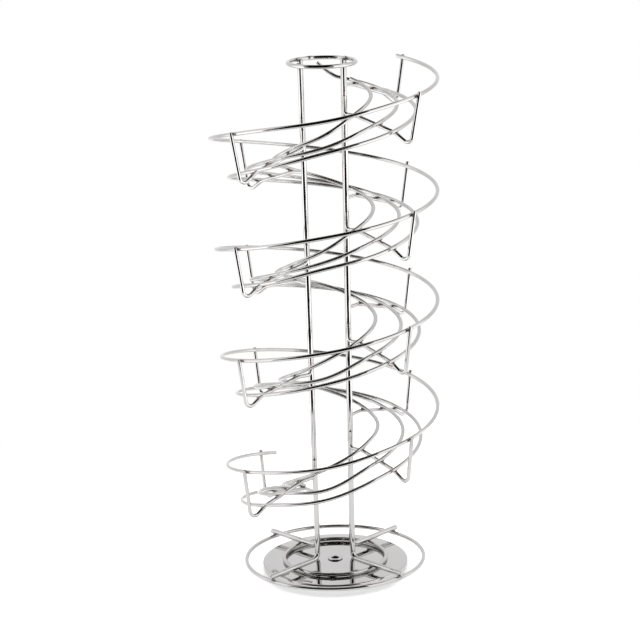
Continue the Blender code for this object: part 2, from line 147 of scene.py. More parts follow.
# %% Where the hooks stand
support_twist = 1.2
support_rounds = 4
sides = (
    ("front_right", 1.0, 1.0, 42.8),
    ("front_left", -1.0, 1.0, 180.0 - 42.0),
    ("back_left", -1.0, -1.0, 180.0 + 43.3),
    ("back_right", 1.0, -1.0, -44.3),
)
hand_bending = (
    (0.0, 0.0010, 0.0000, 0.0014),
    (-3.8, -0.0018, -0.0046, 0.0032),
    (1.1, 0.0014, -0.0018, 0.0014),
    (-1.1, 0.0000, -0.0014, 0.0016),
    (1.4, 0.0018, 0.0034, 0.0030),
    (-0.7, -0.0013, -0.0022, 0.0032),
    (0.8, 0.0032, 0.0010, 0.0022),
    (-1.1, 0.0015, 0.0022, 0.0016),
    (1.4, 0.0036, 0.0058, 0.0024),
    (1.8, 0.0000, -0.0005, 0.0032),
    (1.0, 0.0032, 0.0048, 0.0014),
    (0.0, 0.0025, 0.0040, 0.0016),
    (0.0, 0.0062, 0.0094, 0.0024),
    (0.0, 0.0000, 0.0000, 0.0032),
    (0.0, 0.0000, 0.0000, 0.0024),
    (0.0, 0.0000, 0.0000, 0.0024),
)
even_places = []
for whole in range(support_rounds):
    for label, right, front, turn in sides:
        even_places.append((turn + (360.0 + support_twist) * whole, right, front))
supports = []
for (turn, right, front), row in zip(sorted(even_places), hand_bending):
    supports.append((turn + row[0], right, front, row[3]))
sag_rows = [(place[0], row[1], row[2]) for place, row in zip(supports, hand_bending)]
print("hooks", len(supports), "first at", round(supports[0][0], 1), "last at", round(supports[-1][0], 1))

# %% [markdown]
# Between the two front hooks of a turn a rail is free, and it bows up or down by a few millimetres. The
# bow is nothing at both hooks, so that the rails still lie on them. The guard rail and the outer floor
# rail bow only here: in the construction model they run true, which keeps the run free for its load.

# %% The bows of the rails
guard_bows = (0.0014, -0.0005, 0.0000, 0.0016)
bow_margin = 9.0
front_turns = [place[0] for place in supports if place[2] > 0.0]


def front_bow(turn, bows):
    """How far a rail hangs down at a turn angle between two front hooks."""
    for start, end, bow in zip(front_turns[0::2], front_turns[1::2], bows):
        share = (turn - start - bow_margin) / (end - start - 2.0 * bow_margin)
        if 0.0 < share < 1.0:
            return bow * math.sin(math.pi * share) ** 2
    return 0.0


print("largest bow in mm", 1000 * max(guard_bows))

# %% [markdown]
# The floor's outline is known at four places on the way in from the guard rail: the hook's corner, its
# knee, its crest, and its root at the upright. From hook to hook the sags are eased into each other, so
# a rail that is laid on this floor dips and rises softly, as a sprung wire does.

# %% The floor under it
hook_radius = 0.0831
hook_depth = 0.0388
knee_radius = 0.0690
knee_depth = 0.0290
crest_radius = 0.0350
crest_depth = 0.0185
root_radius = 0.0220
root_depth = 0.0190
floor_swing = 0.0019
floor_shift = -0.0015
floor_outline = (
    (root_radius, root_depth),
    (crest_radius, crest_depth),
    (knee_radius, knee_depth),
    (hook_radius, hook_depth),
)


def floor_depth(distance):
    """Depth of the floor under the guard rail at a distance from the middle."""
    for near, far in zip(floor_outline, floor_outline[1:]):
        if distance <= far[0] or far is floor_outline[-1]:
            slope = (far[1] - near[1]) / (far[0] - near[0])
            return near[1] + slope * (distance - near[0])


def hook_sags(turn):
    """Sag of the crest and of the inner end at a turn angle, eased from one hook to the next."""
    for near, far in zip(sag_rows, sag_rows[1:]):
        if turn <= far[0]:
            share = eased((turn - near[0]) / (far[0] - near[0]))
            return near[1] + (far[1] - near[1]) * share, near[2] + (far[2] - near[2]) * share
    return sag_rows[-1][1], sag_rows[-1][2]


def floor_level(distance, turn):
    """Height of the middle of a support wire under the floor."""
    crest_sag, end_sag = hook_sags(turn)
    outer_share = min(max((knee_radius - distance) / (knee_radius - crest_radius), 0.0), 1.0)
    inner_share = max((crest_radius - distance) / (crest_radius - root_radius), 0.0)
    sag = crest_sag * outer_share + (end_sag - crest_sag) * inner_share
    swing = floor_swing * math.cos(math.radians(turn))
    return guard_level(turn) - floor_depth(distance) + swing - sag


def floor_slope(distance, turn):
    step = 0.0001
    return (floor_level(distance - step, turn) - floor_level(distance + step, turn)) / (2.0 * step)


def turn_near(spot, turn):
    own = -math.degrees(math.atan2(spot.y, spot.x))
    return own + 360.0 * round((turn - own) / 360.0)


def rail_spot(radius, turn):
    """Middle of a floor rail, lying on the supports, at a turn angle."""
    spot = spot_at(radius, turn, 0.0) + Vector((floor_shift, 0.0, 0.0))
    distance = math.hypot(spot.x, spot.y)
    fall = run_pitch / (2.0 * math.pi * distance)
    slope = floor_slope(distance, turn)
    stand = ((rail_wire + support_wire) / 2 + seat_gap) * math.sqrt(1.0 + slope ** 2 + fall ** 2)
    spot.z = floor_level(distance, turn) + stand
    return spot


print("floor outline points", len(floor_outline))

# %% [markdown]
# Each finish below is a small graph of nodes. A noise in the object's own space is stretched over a range
# and then tints the metal, changes its gloss or dents it. These helpers keep such a graph short to write.

# %% Small helpers for shader nodes


def new_material(name, colour, metallic, roughness):
    material = bpy.data.materials.new(name)
    material.use_nodes = True
    shader = material.node_tree.nodes["Principled BSDF"]
    shader.inputs["Base Color"].default_value = (*colour, 1.0)
    shader.inputs["Metallic"].default_value = metallic
    shader.inputs["Roughness"].default_value = roughness
    material.diffuse_color = (*colour, 1.0)
    return material, shader


def add_node(material, kind, **settings):
    node = material.node_tree.nodes.new(kind)
    for name, value in settings.items():
        setattr(node, name, value)
    return node


def join(material, source, target):
    material.node_tree.links.new(source, target)


def object_place(material):
    return add_node(material, "ShaderNodeTexCoord").outputs["Object"]


def grain(material, place, scale, detail=2.0):
    """Noise at so many features to the metre of its place."""
    noise = add_node(material, "ShaderNodeTexNoise")
    noise.inputs["Scale"].default_value = scale
    noise.inputs["Detail"].default_value = detail
    join(material, place, noise.inputs["Vector"])
    return noise.outputs["Fac"]


def spread(material, value, low, high, start=0.3, stop=0.7):
    """Stretch a value between start and stop over low to high."""
    node = add_node(material, "ShaderNodeMapRange")
    node.inputs["From Min"].default_value = start
    node.inputs["From Max"].default_value = stop
    node.inputs["To Min"].default_value = low
    node.inputs["To Max"].default_value = high
    join(material, value, node.inputs["Value"])
    return node.outputs["Result"]


def combined(material, kind, first, second):
    """Two values joined by a sum: added, multiplied, or the larger of both."""
    node = add_node(material, "ShaderNodeMath", operation=kind)
    join(material, first, node.inputs[0])
    join(material, second, node.inputs[1])
    return node.outputs["Value"]


def blended(material, share, first, second):
    """A colour between two colours."""
    node = add_node(material, "ShaderNodeMix", data_type="RGBA")
    node.inputs["A"].default_value = (*first, 1.0)
    node.inputs["B"].default_value = (*second, 1.0)
    join(material, share, node.inputs["Factor"])
    return node


def dented(material, shader, height, strength, depth):
    bump = add_node(material, "ShaderNodeBump")
    bump.inputs["Strength"].default_value = strength
    bump.inputs["Distance"].default_value = depth
    join(material, height, bump.inputs["Height"])
    join(material, bump.outputs["Normal"], shader.inputs["Normal"])


print("helpers for shader nodes are ready")

# %% [markdown]
# Chrome is hardly more than a mirror that throws back a little over half of the light, so its look is
# made by small faults: a slow change of gloss where the plating is thicker or thinner, and hair-fine
# lines left by the die that the wire was drawn through.
# The lines run along the wire. To let them follow every bend, each wire keeps, for every point of its
# skin, the place that the point had while the wire was still straight, as an attribute called straight.
# Near a weld the metal was hot, and the plating there is a little dull. Its colour there is darkened as
# painted shade, for the dark crevice of the joint. An attribute says how near a weld each point is.

# %% Chrome for wires
cloud_scale = 55.0
line_scale = 2600.0
line_stretch = 0.01
ripple_scale = 420.0
# The dark tint near the welds is painted shade.
painted_weld_shade = (0.30, 0.27, 0.25)
painted_weld_shade_share = 0.75
scorched_dullness = 0.25
line_strength = 0.12
line_depth = 0.000006


def chrome_wire_finish(name, bright, cloudy, gloss, dull):
    """Chrome plated drawn wire, a little dull at its welds and darkened there with painted shade."""
    material, shader = new_material(name, bright, 1.0, gloss)
    place = object_place(material)
    clouds = grain(material, place, cloud_scale, 3.0)
    heat_and_shade = add_node(material, "ShaderNodeAttribute", attribute_name="weld_heat_and_shade").outputs["Fac"]
    straight = add_node(material, "ShaderNodeAttribute", attribute_name="straight").outputs["Vector"]
    squeeze = add_node(material, "ShaderNodeMapping")
    squeeze.inputs["Scale"].default_value = (1.0, 1.0, line_stretch)
    join(material, straight, squeeze.inputs["Vector"])
    lines = grain(material, squeeze.outputs["Vector"], line_scale)
    ripple = grain(material, place, ripple_scale, 1.0)

    tint = blended(material, spread(material, clouds, 0.0, 1.0), bright, cloudy)
    # Near a weld the colour is drawn toward the dark tint: painted shade at the joint.
    marked = add_node(material, "ShaderNodeMix", data_type="RGBA")
    marked.inputs["B"].default_value = (*painted_weld_shade, 1.0)
    join(material, spread(material, heat_and_shade, 0.0, painted_weld_shade_share, 0.0, 1.0), marked.inputs["Factor"])
    join(material, tint.outputs["Result"], marked.inputs["A"])
    join(material, marked.outputs["Result"], shader.inputs["Base Color"])

    shine = spread(material, clouds, gloss, dull)
    hot = spread(material, heat_and_shade, 0.0, scorched_dullness, 0.0, 1.0)
    join(material, combined(material, "ADD", shine, hot), shader.inputs["Roughness"])
    dented(material, shader, combined(material, "ADD", lines, ripple), line_strength, line_depth)
    return material


wire_chrome = chrome_wire_finish("chrome_wire_finish", (0.56, 0.55, 0.545), (0.52, 0.51, 0.505), 0.03, 0.07)
rail_chrome = chrome_wire_finish("chrome_rail_finish", (0.55, 0.54, 0.535), (0.505, 0.495, 0.49), 0.04, 0.08)
print("wire finishes", wire_chrome.name, rail_chrome.name)

# %% [markdown]
# The beads where two wires are welded were squeezed out hot and plated afterwards. They are rounder and
# rougher than the wire and look dark beside it, because their small curves throw back the dark
# parts of a room.

# %% Weld metal
lump_scale = 900.0
lump_depth = 0.0002

weld_metal, weld_shader = new_material("weld_finish", (0.42, 0.41, 0.41), 1.0, 0.30)
lumps = grain(weld_metal, object_place(weld_metal), lump_scale, 3.0)
weld_share = spread(weld_metal, lumps, 0.0, 1.0)
weld_tint = blended(weld_metal, weld_share, (0.50, 0.49, 0.49), (0.26, 0.24, 0.23))
join(weld_metal, weld_tint.outputs["Result"], weld_shader.inputs["Base Color"])
join(weld_metal, spread(weld_metal, lumps, 0.22, 0.42), weld_shader.inputs["Roughness"])
dented(weld_metal, weld_shader, lumps, 0.5, lump_depth)
print("weld finish", weld_metal.name)

# %% [markdown]
# The turntable's top plate was polished while it span, so its finest lines are circles round the middle.
# The distance from the middle axis makes rings of a noise, and a second, slow noise makes the faint
# smears that a mirror plate always has. Its lower plate is plain zinc plated steel.

# %% Sheet metal of the turntable
polish_scale = 1500.0
smear_scale = 38.0


def sheet_finish(name, bright, cloudy, gloss, dull, polish_depth):
    material, shader = new_material(name, bright, 1.0, gloss)
    place = object_place(material)
    flat = add_node(material, "ShaderNodeVectorMath", operation="MULTIPLY")
    flat.inputs[1].default_value = (1.0, 1.0, 0.0)
    join(material, place, flat.inputs[0])
    length = add_node(material, "ShaderNodeVectorMath", operation="LENGTH")
    join(material, flat.outputs["Vector"], length.inputs[0])
    rings = add_node(material, "ShaderNodeTexNoise", noise_dimensions="1D")
    rings.inputs["Scale"].default_value = polish_scale
    rings.inputs["Detail"].default_value = 2.0
    join(material, length.outputs["Value"], rings.inputs["W"])
    smears = grain(material, place, smear_scale, 4.0)
    tint = blended(material, spread(material, smears, 0.0, 1.0), bright, cloudy)
    join(material, tint.outputs["Result"], shader.inputs["Base Color"])
    join(material, spread(material, smears, gloss, dull, 0.35, 0.75), shader.inputs["Roughness"])
    dented(material, shader, rings.outputs["Fac"], 0.15, polish_depth)
    return material


plate_chrome = sheet_finish("plate_finish", (0.57, 0.555, 0.555), (0.54, 0.525, 0.525), 0.02, 0.05, 0.000002)
plate_zinc = sheet_finish("zinc_finish", (0.60, 0.60, 0.61), (0.50, 0.50, 0.52), 0.28, 0.42, 0.00004)
rivet_chrome = sheet_finish("rivet_finish", (0.55, 0.55, 0.555), (0.50, 0.50, 0.505), 0.08, 0.18, 0.00002)
ball_steel = sheet_finish("ball_finish", (0.70, 0.70, 0.72), (0.64, 0.64, 0.66), 0.06, 0.12, 0.00001)
print("sheet finishes", plate_chrome.name, plate_zinc.name)

# %% [markdown]
# Rubber and plastic don't show in the picture, but somebody may look under the rack. Both get a fine
# grain, from the mould, and a slow change of tone.

# %% Rubber and plastic
cast_scale = 120.0
mould_depth = 0.0001


def moulded_finish(name, colour, darker, gloss, dull, grain_scale):
    material, shader = new_material(name, colour, 0.0, gloss)
    place = object_place(material)
    cast = grain(material, place, cast_scale)
    fine = grain(material, place, grain_scale)
    tint = blended(material, spread(material, cast, 0.0, 1.0), colour, darker)
    join(material, tint.outputs["Result"], shader.inputs["Base Color"])
    join(material, spread(material, cast, gloss, dull), shader.inputs["Roughness"])
    dented(material, shader, fine, 0.3, mould_depth)
    return material


rubber = moulded_finish("rubber_finish", (0.045, 0.045, 0.045), (0.028, 0.028, 0.028), 0.70, 0.85, 2400.0)
plastic = moulded_finish("plastic_finish", (0.86, 0.85, 0.80), (0.78, 0.77, 0.72), 0.38, 0.50, 1800.0)
print("moulded finishes", rubber.name, plastic.name)

# %% [markdown]
# Operators act on whatever is selected, so each step starts from an empty selection. A finished piece is
# given its material, rides on the body that it moves with, and hides the plain piece that it replaces.

# %% Helpers that start and finish a piece
crease_angle = 40.0
round_crease_angle = 80.0


def rest():
    if bpy.context.object and bpy.context.object.mode == "EDIT":
        bpy.ops.object.mode_set(mode="OBJECT")
    bpy.ops.object.select_all(action="DESELECT")


def pick_up(piece):
    rest()
    piece.select_set(True)
    bpy.context.view_layer.objects.active = piece


def edit(action="SELECT"):
    """Go into edit mode, with everything selected or nothing."""
    bpy.ops.object.mode_set(mode="EDIT")
    bpy.ops.mesh.select_all(action=action)


def stop_editing():
    bpy.ops.object.mode_set(mode="OBJECT")


def finish_piece(piece, name, material, body, nodes=(), sharp_angle=crease_angle):
    pick_up(piece)
    piece.name = name
    piece.data.name = name
    bpy.ops.object.shade_smooth_by_angle(angle=math.radians(sharp_angle))
    piece.data.materials.clear()
    piece.data.materials.append(material)
    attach(piece, body)
    if nodes:
        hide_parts(*nodes)
    rest()


def report(names):
    """Print the largest distance in mm between the boxes of new pieces and the nodes they replace."""
    worst = 0.0
    for name in names:
        spots = np.array([vertex.co for vertex in bpy.data.objects["fine_" + name].data.vertices])
        low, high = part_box(name)
        off_low = np.abs(spots.min(0) - np.array(low)).max()
        off_high = np.abs(spots.max(0) - np.array(high)).max()
        worst = max(worst, off_low, off_high)
    print(len(names), "pieces, boxes within mm", round(1000 * worst, 2))


# %% [markdown]
# A wire could be a curve with a round bevel. Here it is drawn as a bending jig would do it: a round end
# is set at the start, facing along the wire, and is pushed forward to each next point and turned there.
# Extruding and turning by small steps keeps the section round and lets it never twist. The first and
# the last step are short and narrower, which gives the softly broken edge of a cut and plated end. A
# long straight stretch gets stops on the way, because the dullness and the painted shade near a weld are
# kept point by point and would else run on along the whole stretch.

# %% A wire along a path
wire_sides = 16
longest_step = 0.006
smallest_turn = 1e-7
end_bevel = 0.0003
end_girth_share = 0.82


def turned(rotation, spot):
    """Turn the selection about a spot, as three turns about X, Y and Z."""
    for axis, angle in zip("XYZ", rotation.to_euler("XYZ")):
        if abs(angle) > smallest_turn:
            bpy.ops.transform.rotate(
                value=-angle, orient_axis=axis, orient_type="GLOBAL", center_override=spot)


def with_stops(path):
    stops = [path[0]]
    for before, after in zip(path, path[1:]):
        parts = max(1, math.ceil((after - before).length / longest_step))
        stops.extend(before.lerp(after, part / parts) for part in range(1, parts + 1))
    return stops


def with_soft_ends(path):
    first = (path[1] - path[0]).normalized() * end_bevel
    last = (path[-1] - path[-2]).normalized() * end_bevel
    return [path[0], path[0] + first, *path[1:-1], path[-1] - last, path[-1]]


def bend_wire(path, width):
    """Extrude a round end along the path, and note where each point was on the straight wire."""
    path = with_soft_ends(with_stops(path))
    rest()
    heading = (path[1] - path[0]).normalized()
    girth = end_girth_share
    bpy.ops.mesh.primitive_circle_add(
        vertices=wire_sides, radius=width / 2 * girth, fill_type="NGON", location=path[0],
        rotation=heading.to_track_quat("Z", "X").to_euler())
    piece = bpy.context.object
    bpy.ops.object.transform_apply(location=True, rotation=True, scale=True)
    bpy.ops.object.mode_set(mode="EDIT")
    last = len(path) - 1
    for index in range(1, last + 1):
        bpy.ops.mesh.extrude_region_move(TRANSFORM_OT_translate={"value": path[index] - path[index - 1]})
        wanted = end_girth_share if index == last else 1.0
        if wanted != girth:
            change = wanted / girth
            bpy.ops.transform.resize(value=(change, change, change), center_override=path[index])
            girth = wanted
        ahead = (path[min(index + 1, last)] - path[index - 1]).normalized()
        turned(heading.rotation_difference(ahead), path[index])
        heading = ahead
    bpy.ops.object.mode_set(mode="OBJECT")
    straighten(piece, path, width)
    return piece


def straighten(piece, path, width):
    """Keep, for each point, its place on the wire before it was bent."""
    run = [0.0]
    for before, after in zip(path, path[1:]):
        run.append(run[-1] + (after - before).length)
    places = []
    for index in range(len(piece.data.vertices)):
        angle = 2.0 * math.pi * (index % wire_sides) / wire_sides
        places.extend((width / 2 * math.cos(angle), width / 2 * math.sin(angle), run[index // wire_sides]))
    keep_straight_places(piece, places)


def keep_straight_places(piece, places):
    layer = piece.data.attributes.new("straight", "FLOAT_VECTOR", "POINT")
    layer.data.foreach_set("vector", places)


print("sides of a wire", wire_sides, "longest step in mm", 1000 * longest_step)

# %% [markdown]
# The guard rail is the outer helix. It carries the hooks and stops whatever rolls on the floor. A step of
# four degrees is fine enough that no corner shows.

# %% The guard rail
turn_step = 4.0


def turns_between(start, end):
    steps = math.ceil((end - start) / turn_step)
    return [start + (end - start) * step / steps for step in range(steps + 1)]


def guard_spot(turn):
    return spot_at(guard_distance(turn), turn, guard_level(turn) - front_bow(turn, guard_bows))


guard_path = [guard_spot(turn) for turn in turns_between(guard_start, guard_end)]
guard = bend_wire(guard_path, rail_wire)
finish_piece(guard, "fine_guard_rail", rail_chrome, "frame", ["guard_rail"])
report(["guard_rail"])

# %% [markdown]
# Three floor rails lie side by side on the supports and carry the load. The middle one runs on past the
# first and the last support, and its tips are bent up as a stop, so that nothing rolls out.

# %% The floor rails
rail_end = 1316.0
tip_turn = 16.0
tip_rise = 0.0090
tip_curve = 1.5
tip_step = 2.0
floor_rails = {
    "inner": (0.0385, -52.0, rail_end, (0.0022, 0.0014, 0.0000, 0.0000)),
    "middle": (0.0585, -92.0, 1330.0, (0.0023, 0.0010, 0.0038, 0.0050)),
    "outer": (0.0728, -48.0, rail_end, (-0.0010, -0.0018, 0.0000, 0.0030)),
}


def bowed_spot(radius, turn, bows):
    return rail_spot(radius, turn) - Vector((0.0, 0.0, front_bow(turn, bows)))


def tip_lift(turn, start, end):
    past = max(start + tip_turn - turn, turn - end + tip_turn, 0.0)
    return Vector((0.0, 0.0, tip_rise * (past / tip_turn) ** tip_curve))


def middle_rail_path(radius, start, end, bows):
    tip_steps = int(tip_turn / tip_step)
    turns = [start + tip_step * step for step in range(tip_steps)]
    turns += turns_between(start + tip_turn, end - tip_turn)
    turns += [end - tip_turn + tip_step * step for step in range(1, tip_steps + 1)]
    return [bowed_spot(radius, turn, bows) + tip_lift(turn, start, end) for turn in turns]


for label, (radius, start, end, bows) in floor_rails.items():
    if label == "middle":
        path = middle_rail_path(radius, start, end, bows)
    else:
        path = [bowed_spot(radius, turn, bows) for turn in turns_between(start, end)]
    rail = bend_wire(path, rail_wire)
    node = "floor_rail_" + label
    finish_piece(rail, "fine_" + node, rail_chrome, "frame", [node])
report(["floor_rail_" + label for label in floor_rails])

# %% [markdown]
# Straight wire that is bent over a former has straight runs joined by arcs. The next helper rounds each
# corner of a path with its own bend radius, and both the uprights and the supports use it.

# %% Rounded corners
bend_step = math.radians(9.0)


def rounded_path(corners, radii):
    path = [corners[0]]
    for before, corner, after, radius in zip(corners, corners[1:], corners[2:], radii):
        back = (before - corner).normalized()
        onward = (after - corner).normalized()
        opening = back.angle(onward)
        turning = math.pi - opening
        middle = corner + (back + onward).normalized() * radius / math.sin(opening / 2)
        arm = corner + back * radius / math.tan(opening / 2) - middle
        leaving = corner + onward * radius / math.tan(opening / 2) - middle
        across = arm.cross(leaving).normalized().cross(arm)
        steps = max(3, math.ceil(turning / bend_step))
        for step in range(steps + 1):
            angle = turning * step / steps
            path.append(middle + arm * math.cos(angle) + across * math.sin(angle))
    path.append(corners[-1])
    return path


print("bend step in degrees", round(math.degrees(bend_step), 1))

# %% [markdown]
# Four uprights carry the run. Each one stands inside the top ring, comes straight down, turns outwards in
# a tight bend just above the turntable, and goes on as an arm over both base rings.

# %% The uprights
upright_half_width_top = 0.0165
upright_half_width_base = 0.0140
upright_half_depth = 0.0145
upright_top_stand = 0.0008
arm_overrun = 0.0032
arm_reach = base_ring_radius + arm_overrun
arm_bend_radius = 0.0055
top_ring_height = 0.4000
top_ring_lean = math.radians(3.5)


def upright_half_width(height):
    share = (ring_plane + top_ring_height - height) / top_ring_height
    return upright_half_width_top + (upright_half_width_base - upright_half_width_top) * share


def upright_corners(right, front):
    depth = -front * upright_half_depth
    top = ring_plane + top_ring_height + depth * math.sin(top_ring_lean) + upright_top_stand
    head = Vector((right * upright_half_width_top, depth, top))
    heel = Vector((right * upright_half_width_base, depth, arm_height))
    outward = Vector((heel.x, heel.y, 0.0)).normalized()
    tip = Vector((outward.x * arm_reach, outward.y * arm_reach, arm_height))
    return [head, heel, tip]


for label, right, front, _ in sides:
    path = rounded_path(upright_corners(right, front), [arm_bend_radius])
    upright = bend_wire(path, upright_wire)
    node = "upright_" + label
    finish_piece(upright, "fine_" + node, wire_chrome, "frame", [node])
report(["upright_" + label for label, _, _, _ in sides])

# %% [markdown]
# A support is a hook. Its leg hangs on the outside of the guard rail, turns in at a narrow foot, climbs
# under the floor rails over a knee and a crest, and its end is turned up and lies along an upright. All
# sixteen follow one rule, so one function works out the corners from the turn angle of the leg.

# %% The supports
foot_bend_radius = 0.0045
knee_bend_radius = 0.0120
crest_bend_radius = 0.0080
lap_bend_radius = 0.0035
lap_height = 0.0140


def distance_along(start, direction, radius):
    """How far from the start, going inwards, a straight plan line reaches a radius."""
    middle = start.dot(direction)
    return -middle - math.sqrt(middle ** 2 - start.dot(start) + radius ** 2)


def support_line(turn, right, front):
    """Start, end and direction in plan of one support."""
    leg_radius = guard_distance(turn) + (rail_wire + support_wire) / 2 + seat_gap
    outer = spot_at(leg_radius, turn, 0.0)
    join_height = guard_level(turn) - root_depth
    beside = (upright_wire + support_wire) / 2 + seat_gap
    inner = Vector((right * upright_half_width(join_height), -front * (upright_half_depth + beside), 0.0))
    return outer, inner, (inner - outer).normalized()


def support_corners(turn, right, front, stand):
    outer, inner, inward = support_line(turn, right, front)
    corners = [outer + Vector((0.0, 0.0, guard_level(turn) + stand))]
    for radius in (hook_radius, knee_radius, crest_radius):
        spot = outer + inward * distance_along(outer, inward, radius)
        spot.z = floor_level(radius, turn_near(spot, turn))
        corners.append(spot)
    inner.z = floor_level(inner.length, turn_near(inner, turn))
    corners.append(inner)
    corners.append(inner + Vector((0.0, 0.0, lap_height)))
    return corners


support_radii = [foot_bend_radius, knee_bend_radius, crest_bend_radius, lap_bend_radius]
for number, place in enumerate(supports, start=1):
    path = rounded_path(support_corners(*place), support_radii)
    node = "support_%02d" % number
    finish_piece(bend_wire(path, support_wire), "fine_" + node, wire_chrome, "frame", [node])
report(["support_%02d" % number for number in range(1, len(supports) + 1)])

# %% [markdown]
# The three rings are bent round and their ends are butted and welded. A circle spun once round the axis
# makes the ring. At the weld the metal was pressed together, so a few sections there are swollen, and
# the spot catches the light on the front of the real base.

# %% A ring and its weld
ring_steps = 120
swelling_shares = (1.10, 1.22, 1.10)
section_reach = 0.52 * ring_wire


def make_ring(radius, height, seam_turn):
    """Spin a round section about the upright axis and swell it at the weld of its ends."""
    rest()
    seam = math.radians(-seam_turn)
    start = (radius * math.cos(seam), radius * math.sin(seam), height)
    bpy.ops.mesh.primitive_circle_add(
        vertices=wire_sides, radius=ring_wire / 2, location=start, rotation=(math.pi / 2, 0.0, seam))
    ring = bpy.context.object
    bpy.ops.object.transform_apply(location=True, rotation=True, scale=True)
    edit()
    bpy.ops.mesh.spin(steps=ring_steps, angle=2.0 * math.pi, center=(0.0, 0.0, height), axis=(0.0, 0.0, 1.0))
    bpy.ops.mesh.select_all(action="SELECT")
    bpy.ops.mesh.normals_make_consistent(inside=False)
    stop_editing()
    swell(ring, radius, height, seam)
    straighten_ring(ring, radius, height, seam)
    return ring


def swell(ring, radius, height, seam):
    """Widen a few sections of the ring where its two ends are welded together."""
    step_angle = 2.0 * math.pi / ring_steps
    for index, girth in enumerate(swelling_shares):
        angle = seam + (index - len(swelling_shares) // 2) * step_angle
        spot = Vector((radius * math.cos(angle), radius * math.sin(angle), height))
        edit("DESELECT")
        stop_editing()
        for vertex in ring.data.vertices:
            vertex.select = (vertex.co - spot).length < section_reach
        bpy.ops.object.mode_set(mode="EDIT")
        bpy.ops.transform.resize(value=(girth, girth, girth), center_override=spot)
        stop_editing()


def straighten_ring(ring, radius, height, seam):
    places = []
    for vertex in ring.data.vertices:
        distance = math.hypot(vertex.co.x, vertex.co.y) - radius
        around = (math.atan2(vertex.co.y, vertex.co.x) - seam) % (2.0 * math.pi)
        places.extend((distance, vertex.co.z - height, radius * around))
    keep_straight_places(ring, places)


print("ring sections", ring_steps, "widened at the weld", len(swelling_shares))

# %% [markdown]
# The large ring stands round the turntable, the small one lies on it, and the third closes the uprights
# at the top. That one is welded on a little askew, leaning to the front, so it is tipped at the end.

# %% The rings
rings = {
    "base_ring": (base_ring_radius, ring_plane, 70.0),
    "inner_ring": (inner_ring_radius, ring_plane, 94.0),
    "top_ring": (top_ring_radius, top_plane, 250.0),
}
for node, (radius, height, seam_turn) in rings.items():
    ring = make_ring(radius, height, seam_turn)
    if node == "top_ring":
        pick_up(ring)
        edit()
        turned(Quaternion((1.0, 0.0, 0.0), top_ring_lean), Vector((0.0, 0.0, height)))
        stop_editing()
    finish_piece(ring, "fine_" + node, wire_chrome, "frame", [node])
report(rings)

# %% [markdown]
# The sheet parts are turned parts: each one is an outline that is spun round the upright axis. The outline
# is drawn by pushing a single point from corner to corner, with arcs where an edge is rounded.

# %% A turned part
start_size = 0.0001
merge_distance = 0.000001
disc_steps = 144
round_steps = 48


def turn_outline(outline, steps):
    """Draw an outline of (distance, height) pairs and spin it round the upright axis."""
    rest()
    spots = [Vector((distance, 0.0, height)) for distance, height in outline]
    bpy.ops.mesh.primitive_plane_add(size=start_size, location=spots[0])
    part = bpy.context.object
    bpy.ops.object.transform_apply(location=True, rotation=True, scale=True)
    edit()
    bpy.ops.mesh.select_mode(type="VERT")
    bpy.ops.mesh.merge(type="CENTER")
    for before, after in zip(spots, spots[1:] + spots[:1]):
        bpy.ops.mesh.extrude_region_move(TRANSFORM_OT_translate={"value": after - before})
    bpy.ops.mesh.select_all(action="SELECT")
    bpy.ops.mesh.remove_doubles(threshold=merge_distance)
    bpy.ops.mesh.select_all(action="SELECT")
    bpy.ops.mesh.spin(steps=steps, angle=2.0 * math.pi, center=(0.0, 0.0, 0.0), axis=(0.0, 0.0, 1.0))
    bpy.ops.mesh.select_all(action="SELECT")
    bpy.ops.mesh.remove_doubles(threshold=merge_distance)
    bpy.ops.mesh.normals_make_consistent(inside=False)
    stop_editing()
    return part


def arc(middle, radius, start, end, steps):
    spots = []
    for step in range(steps + 1):
        angle = math.radians(start + (end - start) * step / steps)
        spots.append((middle[0] + radius * math.cos(angle), middle[1] + radius * math.sin(angle)))
    return spots


print("steps round a disc", disc_steps, "and round a small part", round_steps)

# %% [markdown]
# The turntable is two sheet discs with a ball race between them. The top plate has a rounded shoulder and
# a short skirt, which hides the race from the side. The lower one is smaller and flat. Both have a hole
# for the rivet.

# %% The two discs
sheet_thickness = 0.0012
foot_height = 0.0026
lower_disc_radius = 0.0500
lower_disc_edge_radius = 0.0010
upper_disc_radius = 0.0590
upper_disc_skirt = 0.0048
upper_disc_edge_radius = 0.0016
running_gap = 0.0003
rivet_shank_radius = 0.0042
sheet_bore_radius = rivet_shank_radius + running_gap

upper_disc_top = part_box("upper_disc")[1].z
shoulder = (upper_disc_radius - upper_disc_edge_radius, upper_disc_top - upper_disc_edge_radius)
skirt_foot = upper_disc_top - upper_disc_skirt
plate_outline = [(sheet_bore_radius, upper_disc_top)]
plate_outline += arc(shoulder, upper_disc_edge_radius, 90.0, 0.0, 8)
plate_outline += [(upper_disc_radius, skirt_foot), (upper_disc_radius - sheet_thickness, skirt_foot)]
plate_outline += arc(shoulder, upper_disc_edge_radius - sheet_thickness, 0.0, 90.0, 4)
plate_outline += [(sheet_bore_radius, upper_disc_top - sheet_thickness)]
plate = turn_outline(plate_outline, disc_steps)
finish_piece(plate, "fine_upper_disc", plate_chrome, "frame", ["upper_disc"])

lower_disc_bottom = foot_height + seat_gap
lower_disc_top = lower_disc_bottom + sheet_thickness
rim = (lower_disc_radius - lower_disc_edge_radius, lower_disc_top - lower_disc_edge_radius)
disc_outline = [(sheet_bore_radius, lower_disc_bottom)]
disc_outline += [(lower_disc_radius - lower_disc_edge_radius / 2, lower_disc_bottom)]
disc_outline += arc(rim, lower_disc_edge_radius, 0.0, 90.0, 6)
disc_outline += [(sheet_bore_radius, lower_disc_top)]
lower_disc = turn_outline(disc_outline, disc_steps)
finish_piece(lower_disc, "fine_lower_disc", plate_zinc, "base", ["lower_disc"])
report(["upper_disc", "lower_disc"])

